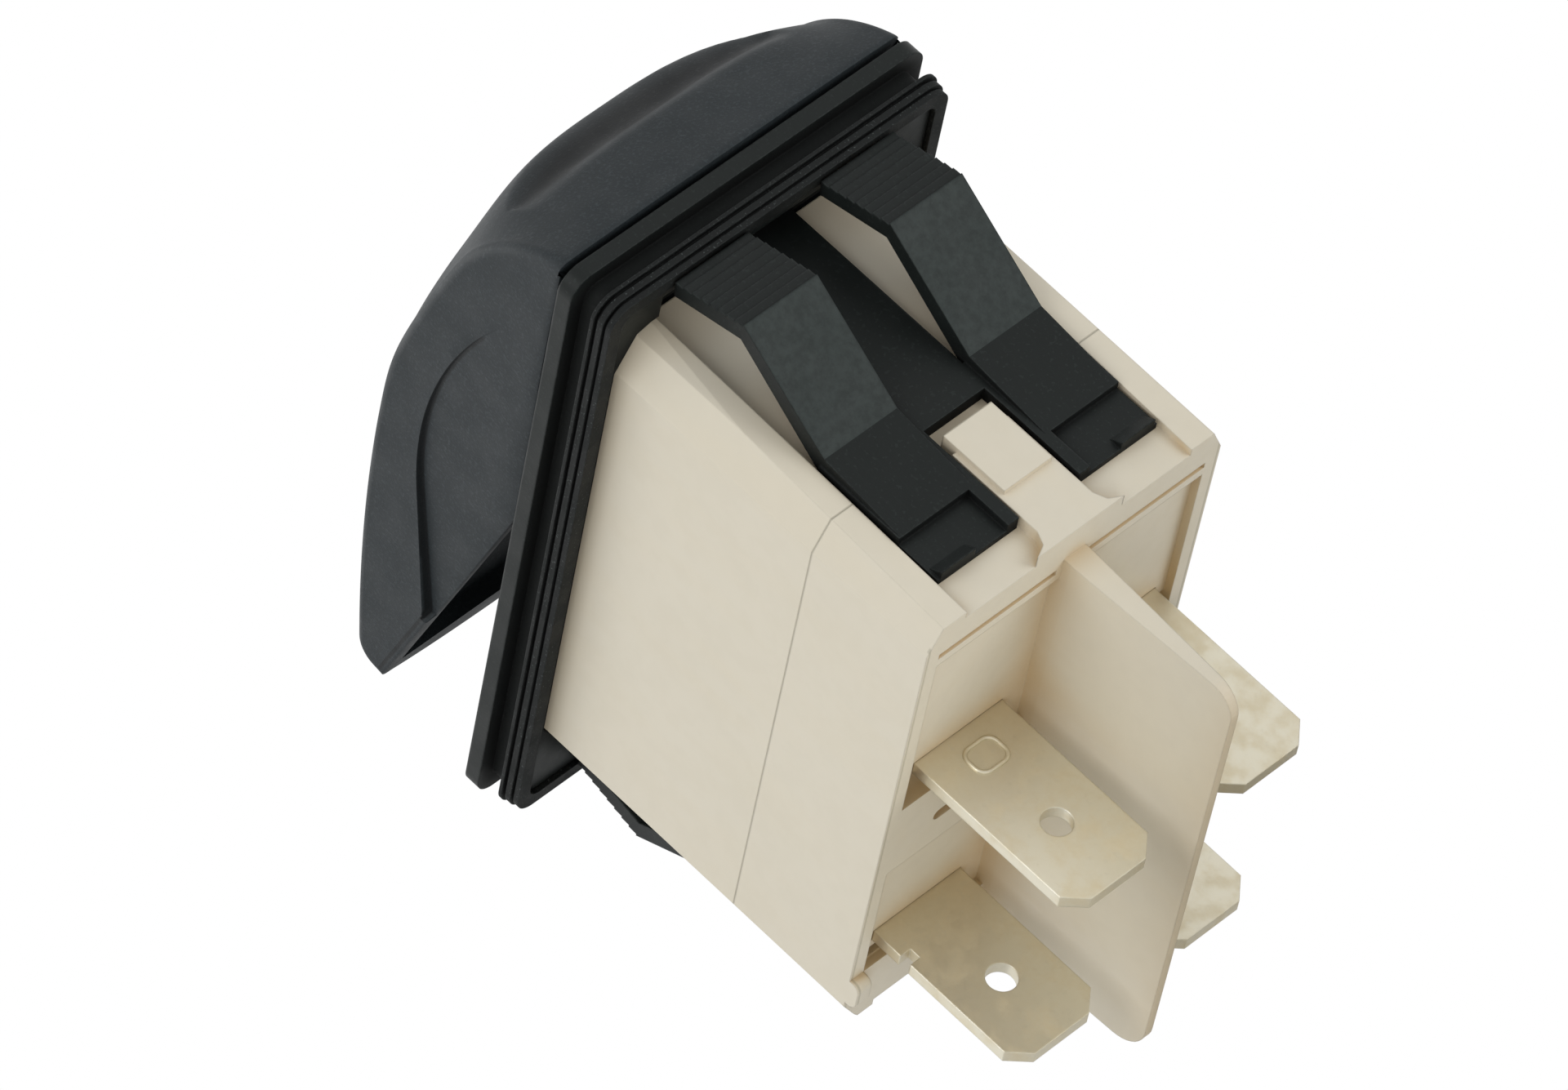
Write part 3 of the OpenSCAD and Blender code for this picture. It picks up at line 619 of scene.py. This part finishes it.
class ButtonMesh:
    """Points, faces and marks of the whole button, empty inside, from its form."""

    round_y, round_depth = 0.6, 0.6
    wall_y, wall_heel, wall_roll = 1.05, 1.25, 2.0
    roof_rise, roof_heel_share, roof_roll_share = 0.8, 0.6, 0.7
    rolled_edge, dish_shade = (0.03, 0.45), 1.5

    def __init__(self, form):
        self.form = form
        self.points, self.faces = [], []
        # Marks carried by the points: wear on edges, and painted shade in the dish and under the arch's step
        self.marks = {"edge": [], "hollow": []}
        self.inner_y = form.half_width - self.wall_y
        self.heel_x, self.roll_x = self.wall_heel - form.half_length, form.half_length - self.wall_roll
        self.roof = [
            (self.heel_x, form.end + self.roof_rise),
            (-form.half_length * self.roof_heel_share, form.ceiling),
            (form.half_length * self.roof_roll_share, form.ceiling),
            (self.roll_x, form.end + self.roof_rise),
        ]
        self.across = self.stations()
        grid = self.skin()
        linings = [self.side(grid, side) for side in (-1, 1)]
        self.ceiling(*linings)
        self.end_wall(grid[0], self.heel_x, True)
        self.end_wall(grid[-1], self.roll_x, False)
        corners = (tuple(dict.fromkeys(face)) for face in self.faces)
        self.faces = [face for face in corners if len(face) > 2]

    def add(self, p, edge=0.0, hollow=0.0):
        """Adds a point of the level button with its marks, and returns its number."""
        self.points.append(self.form.rocked(p))
        self.marks["edge"].append(edge)
        self.marks["hollow"].append(hollow)
        return len(self.points) - 1

    def stations(self):
        """Places across the skin, each with how far it drops round the long edge."""
        shares = [0.5 * i / 10 for i in range(10)]
        shares += [0.5 + 0.3 * i / 18 for i in range(18)]
        shares += [0.8 + 0.15 * i / 6 for i in range(7)]
        half = [(self.form.half_width * u, 0.0) for u in shares]
        for i in range(1, 9):
            angle = math.radians(90 * i / 8)
            y = self.form.half_width - self.round_y * (1 - math.sin(angle))
            half.append((y, self.round_depth * (1 - math.cos(angle))))
        return [(-y, drop) for y, drop in reversed(half[1:])] + half

    def skin(self):
        """The top, from the heel over the crest to the rolled end."""
        form, grid = self.form, []
        for x, z, heading in form.profile:
            sh, ch = math.sin(math.radians(heading)), math.cos(math.radians(heading))
            row = []
            for y, drop in self.across:
                d = form.lift(x, y) - drop
                edge = 0.5 if self.rolled_edge[0] < drop < self.rolled_edge[1] else 0.0
                # Painted shade in the finger dish, strongest where the dish is deepest
                hollow = min(1.0, self.dish_shade * form.dish(x, y) * MM / form.sizes.dish)
                spot = (x - form.profile_shift - d * sh, y, form.end + z + d * ch)
                row.append(self.add(spot, edge, hollow))
            grid.append(row)
        for a, b in zip(grid, grid[1:]):
            for j in range(len(a) - 1):
                self.faces.append((a[j], a[j + 1], b[j + 1], b[j]))
        return grid

    @staticmethod
    def heights(low, step, top):
        """Places up a side, close together at the lower edge and at the arch's step."""
        low_band, step_low, step_high = low + 0.15, step - 0.25, step + 0.2
        places = [low, low + 0.04, low_band]
        places += [low_band + (step_low - low - 0.15) * k / 5 for k in range(1, 6)]
        places += [step_low + 0.1 * k for k in (1, 2)]
        places += [step - 0.05 + 0.1 * k / 5 for k in range(1, 6)]
        return places + [step_high + (top - step - 0.2) * k / 5 for k in range(1, 5)]

    def side(self, grid, side):
        """One long side with its arched panel and its lining; returns the lining's points."""
        form = self.form
        draw_in = {0: 0.13, 1: 0.04}  # rounds the lower edge
        columns = []
        for i in (row[0 if side < 0 else -1] for row in grid[3:-6]):
            x, _, top = self.unrocked(i)
            low = form.bottom(x)
            step = min(max(form.arch(x), low + 0.45), top - 0.25)
            column = []
            for k, z in enumerate(self.heights(low, step, top)):
                y = form.half_width - form.recess(x, z) - draw_in.get(k, 0.0)
                # Wear on the lower edge and over the arch's step, painted shade just below the step
                edge = 0.6 if k < 3 or 0.03 < z - step < 0.12 and x < 9 else 0.0
                hollow = 0.9 if -0.2 < z - step < 0.03 and x < 11 else 0.0
                column.append(self.add((x, side * y, z), edge, hollow))
            columns.append(column + [i])
        for a, b in zip(columns, columns[1:]):
            for k in range(len(a) - 1):
                self.turned((a[k], b[k], b[k + 1], a[k + 1]), side > 0)
        lining = []
        for column in columns:
            x = min(max(self.unrocked(column[0])[0], self.heel_x), self.roll_x)
            y = side * self.inner_y
            lining.append((self.add((x, y, form.bottom(x))), self.add((x, y, height_on(self.roof, x)))))
        for (a, (a_low, a_high)), (b, (b_low, b_high)) in zip(
            zip(columns, lining), zip(columns[1:], lining[1:])
        ):
            self.turned((a[0], a_low, b_low, b[0]), side > 0)
            self.turned((a_low, a_high, b_high, b_low), side > 0)
        return lining

    def ceiling(self, left, right):
        """The inside of the top, between the linings of the two sides."""
        for (_, a), (_, b), (_, c), (_, d) in zip(left, left[1:], right, right[1:]):
            self.faces.append((a, c, d, b))

    def end_wall(self, row, x, heel):
        """The inside of one end, joined to the skin's end row."""
        ys = [min(max(y, -self.inner_y), self.inner_y) for y, _ in self.across]
        low = [self.add((x, y, self.form.bottom(x))) for y in ys]
        high = [self.add((x, y, height_on(self.roof, x))) for y in ys]
        for j in range(len(ys) - 1):
            self.turned((row[j], low[j], low[j + 1], row[j + 1]), heel)
            self.turned((low[j], high[j], high[j + 1], low[j + 1]), heel)

    def turned(self, face, other_way):
        """Adds a face, its corners in the other order where asked."""
        self.faces.append(face[::-1] if other_way else face)

    def unrocked(self, i):
        """A point's place on the level button, worked back from its place at rest."""
        x, y, z = self.points[i]
        angle = math.radians(self.form.rest_angle)
        c, s = math.cos(angle), math.sin(angle)
        z -= self.form.pivot
        return (x * c - z * s, y, self.form.pivot + x * s + z * c)


# Sizes and colours


class ROCKER_PG_sizes(bpy.types.PropertyGroup):
    """Sizes of the shapes that the looks add or refine."""

    crown: bpy.props.FloatProperty(
        name="Crown",
        description="Rise of the crown across the button",
        default=1.95 * MM,
        unit="LENGTH",
    )
    brow: bpy.props.FloatProperty(
        name="Brow",
        description="Extra rise of the crown behind the finger dish",
        default=0.4 * MM,
        unit="LENGTH",
    )
    dish: bpy.props.FloatProperty(
        name="Finger dish",
        description="Depth of the finger dish in the pressed end",
        default=1.0 * MM,
        unit="LENGTH",
    )
    arch: bpy.props.FloatProperty(
        name="Arched panels",
        description="Depth of the arched panels in the sides",
        default=0.6 * MM,
        unit="LENGTH",
    )


class ROCKER_PG_looks(bpy.types.PropertyGroup):
    """Colours of the finishes, as linear values."""

    rocker_colour: bpy.props.FloatVectorProperty(
        name="Button",
        description="Colour of the button",
        default=(0.0175, 0.0222, 0.0248),
        subtype="COLOR",
    )
    bracket_colour: bpy.props.FloatVectorProperty(
        name="Bracket",
        description="Colour of the bezel and legs",
        default=(0.0088, 0.0112, 0.0106),
        subtype="COLOR",
    )
    gasket_colour: bpy.props.FloatVectorProperty(
        name="Gasket",
        description="Colour of the rubber",
        default=(0.0078, 0.0090, 0.0088),
        subtype="COLOR",
    )
    housing_colour: bpy.props.FloatVectorProperty(
        name="Housing",
        description="Colour of the housing",
        default=(0.70, 0.65, 0.535),
        subtype="COLOR",
    )
    # Colour of the painted shade in the housing's corners and pockets
    pocket_shade_colour: bpy.props.FloatVectorProperty(
        name="Pockets",
        description="Colour deep in the terminal pockets",
        default=(0.58, 0.42, 0.22),
        subtype="COLOR",
    )
    terminal_colour: bpy.props.FloatVectorProperty(
        name="Terminals",
        description="Colour of the tin plate",
        default=(0.74, 0.70, 0.57),
        subtype="COLOR",
    )
    stain_colour: bpy.props.FloatVectorProperty(
        name="Stains",
        description="Colour of the stained plate",
        default=(0.66, 0.57, 0.38),
        subtype="COLOR",
    )
    floor_colour: bpy.props.FloatVectorProperty(
        name="Floor", description="Colour of the floor", default=(0.88, 0.88, 0.88), subtype="COLOR"
    )


# Operators


class ROCKER_OT_stage(bpy.types.Operator):
    """Make the camera, the white studio, its soft lamps and the floor"""

    bl_idname = "rocker.stage"
    bl_label = "Stage"

    def execute(self, context):
        self.camera(context)
        self.world(context)
        self.floor(context)
        self.lamps(context)
        return {"FINISHED"}

    @staticmethod
    def lamps(context):
        """Soft round lamps: name, place, width, power in watts and the place each one faces."""
        for name, place, size, power, aim in (
            ("key_lamp", (0.30, -0.42, 0.10), 0.34, 0.68, (0.0, 0.0, 0.0)),
            ("side_lamp", (0.34, 0.25, -0.30), 0.30, 0.72, (0.0, 0.0, -0.01)),
            ("low_lamp", (0.24, -0.24, -0.42), 0.30, 0.50, (0.0, 0.0, -0.01)),
            ("top_lamp", (-0.22, -0.20, 0.42), 0.40, 0.70, (0.0, 0.0, 0.0)),
        ):
            data = bpy.data.lights.new(name, "AREA")
            data.shape, data.size, data.energy = "DISK", size, power
            lamp = bpy.data.objects.new(name, data)
            lamp.location = place
            lamp.rotation_mode = "QUATERNION"
            lamp.rotation_quaternion = (Vector(aim) - Vector(place)).to_track_quat("-Z", "Y")
            context.scene.collection.objects.link(lamp)

    @staticmethod
    def camera(context):
        """A long lens below the pressed end and the -Y side, rolled to set the terminals low and right."""
        place = (0.51495, -0.31579, -0.23289)
        right = Vector((0.12954512, 0.71159284, -0.69054593)).normalized()
        back = Vector((0.79896779, -0.48735696, -0.35232608))
        back = (back - right * back.dot(right)).normalized()
        up = back.cross(right)
        data = bpy.data.cameras.new("camera")
        data.lens, data.sensor_width = 288.13, 36.0
        data.clip_start, data.clip_end = 0.01, 20.0
        camera = bpy.data.objects.new("camera", data)
        camera.matrix_world = Matrix.Translation(place) @ Matrix((right, up, back)).transposed().to_4x4()
        context.scene.collection.objects.link(camera)
        context.scene.camera = camera

    @staticmethod
    def world(context):
        """Even light from all round, plain white where it is seen or mirrored."""
        world = bpy.data.worlds.new("studio")
        world.use_nodes = True
        s = Nodes(world.node_tree)
        light = s.node("ShaderNodeBackground", None, {"Color": (1.0, 1.0, 1.0), "Strength": 0.51})
        white = s.node("ShaderNodeBackground", None, {"Color": (1.0, 1.0, 1.0)})
        kinds = ("Is Camera Ray", "Is Transmission Ray", "Is Glossy Ray")
        camera, through, mirrored = (s.node("ShaderNodeLightPath", out=kind) for kind in kinds)
        seen = camera.most(through).most(mirrored)
        sky = s.node("ShaderNodeMixShader", None, {0: seen, 1: light, 2: white})
        s.node("ShaderNodeOutputWorld", None, {"Surface": sky})
        context.scene.world = world
        context.scene.view_settings.view_transform = "Standard"

    @staticmethod
    def floor(context):
        """A pale floor just below the switch, open to light and sight from below."""
        radius, drop = 1.6, 0.2 * MM
        s = Shader("studio_floor")
        colour = tuple(context.scene.rocker_looks.floor_colour)
        paint = s.node("ShaderNodeBsdfDiffuse", None, {"Color": colour})
        glass = s.node("ShaderNodeBsdfTransparent")
        under = s.node("ShaderNodeNewGeometry", out="Backfacing")
        shade = s.node("ShaderNodeLightPath", out="Is Shadow Ray")
        surface = s.node("ShaderNodeMixShader", None, {0: under.most(shade), 1: paint, 2: glass})
        s.node("ShaderNodeOutputMaterial", None, {"Surface": surface})
        angles = [math.radians(a) for a in range(0, 360, 6)]
        corners = [(math.cos(a) * radius, math.sin(a) * radius, CAD_BOX[0][2] - drop) for a in angles]
        mesh = bpy.data.meshes.new("studio_floor")
        mesh.from_pydata(corners, [], [tuple(range(len(corners)))])
        mesh.materials.append(s.material)
        floor = bpy.data.objects.new("studio_floor", mesh)
        context.scene.collection.objects.link(floor)


class ROCKER_OT_button(bpy.types.Operator):
    """Make the crowned button with its rolled end, finger dish and arched sides"""

    bl_idname = "rocker.button"
    bl_label = "Button"

    def execute(self, context):
        button = ButtonMesh(ButtonForm(context.scene.rocker_sizes))
        shape = (button.points, button.faces)
        finish = charcoal_plastic(context.scene.rocker_looks)
        piece = new_piece("crowned_button", *shape, finish, "rocker", "rocker_plastic", 35.0, button.marks)
        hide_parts("rocker_button")
        dress(["rocker_button"], finish)
        return {"FINISHED"}


class ROCKER_OT_bracket(bpy.types.Operator):
    """Finish the bezel, its sprung legs and the carrier behind the button"""

    bl_idname = "rocker.bracket"
    bl_label = "Bracket and carrier"

    def execute(self, context):
        looks = context.scene.rocker_looks
        dress(["mounting_bracket"], black_moulding(looks, "bracket_moulding"))
        dress(["rocker_carrier"], black_moulding(looks, "carrier_moulding", 0.8, 0.12 * MM, 0.55))
        return {"FINISHED"}


class ROCKER_OT_rubber(bpy.types.Operator):
    """Finish the panel gasket and the housing seal"""

    bl_idname = "rocker.rubber"
    bl_label = "Gasket and seal"

    def execute(self, context):
        dress(["panel_gasket", "housing_seal"], gasket_rubber(context.scene.rocker_looks))
        return {"FINISHED"}


class ROCKER_OT_housing(bpy.types.Operator):
    """Finish the two housing halves"""

    bl_idname = "rocker.housing"
    bl_label = "Housing"

    def execute(self, context):
        dress(["upper_housing", "terminal_base"], cream_plastic(context.scene.rocker_looks))
        return {"FINISHED"}


class ROCKER_OT_terminals(bpy.types.Operator):
    """Finish the four blade terminals and add the ring on each end one"""

    bl_idname = "rocker.terminals"
    bl_label = "Terminals"

    def execute(self, context):
        names = [f"{kind}_terminal_{pole}" for kind in ("common", "switched") for pole in "ab"]
        finish = tinned_brass(context.scene.rocker_looks)
        dress(names, finish)
        proud, pole_y, above_tip = 0.02, 5.45, 9.65
        half, corner, thick = (1.05, 0.85), 0.6, 0.13
        for pole, side in (("a", -1), ("b", 1)):
            low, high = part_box(f"common_terminal_{pole}")
            spot = (high[0] / MM + proud, side * pole_y, low[2] / MM + above_tip)
            loop_tube(f"stamped_ring_{pole}", spot, half, corner, thick, finish, "tinned_brass")
        return {"FINISHED"}


class ROCKER_OT_mechanism(bpy.types.Operator):
    """Finish the contacts, blades, plungers and springs inside"""

    bl_idname = "rocker.mechanism"
    bl_label = "Mechanism"

    def execute(self, context):
        silver = plain_metal("contact_silver", (0.72, 0.72, 0.70), 0.24)
        copper = plain_metal("blade_copper", (0.68, 0.40, 0.27), 0.3)
        steel = plain_metal("spring_steel", (0.56, 0.57, 0.59), 0.26, 0.05 * MM)
        nylon = natural_nylon()
        for pole in "ab":
            dress([f"fixed_contact_{pole}", f"moving_contact_{pole}"], silver)
            dress([f"contact_blade_{pole}"], copper)
            dress([f"plunger_spring_{pole}"], steel)
            dress([f"plunger_{pole}"], nylon)
        return {"FINISHED"}


OPERATORS = (
    ROCKER_OT_stage,
    ROCKER_OT_button,
    ROCKER_OT_bracket,
    ROCKER_OT_rubber,
    ROCKER_OT_housing,
    ROCKER_OT_terminals,
    ROCKER_OT_mechanism,
)


class ROCKER_PT_panel(bpy.types.Panel):
    """The steps that dress the switch, in order"""

    bl_label = "Rocker switch"
    bl_idname = "ROCKER_PT_panel"
    bl_space_type = "VIEW_3D"
    bl_region_type = "UI"
    bl_category = "Rocker switch"

    def draw(self, context):
        for group in (context.scene.rocker_sizes, context.scene.rocker_looks):
            box = self.layout.box()
            for name in group.__annotations__:
                box.prop(group, name)
        for operator in OPERATORS:
            self.layout.operator(operator.bl_idname)


CLASSES = (ROCKER_PG_sizes, ROCKER_PG_looks, *OPERATORS, ROCKER_PT_panel)


def register():
    for each in CLASSES:
        bpy.utils.register_class(each)
    bpy.types.Scene.rocker_sizes = bpy.props.PointerProperty(type=ROCKER_PG_sizes)
    bpy.types.Scene.rocker_looks = bpy.props.PointerProperty(type=ROCKER_PG_looks)


def unregister():
    del bpy.types.Scene.rocker_looks
    del bpy.types.Scene.rocker_sizes
    for each in reversed(CLASSES):
        bpy.utils.unregister_class(each)


def main():
    """Dresses the whole switch."""
    register()
    bpy.ops.rocker.stage()
    bpy.ops.rocker.button()
    bpy.ops.rocker.bracket()
    bpy.ops.rocker.rubber()
    bpy.ops.rocker.housing()
    bpy.ops.rocker.terminals()
    bpy.ops.rocker.mechanism()


if __name__ == "__main__":
    main()
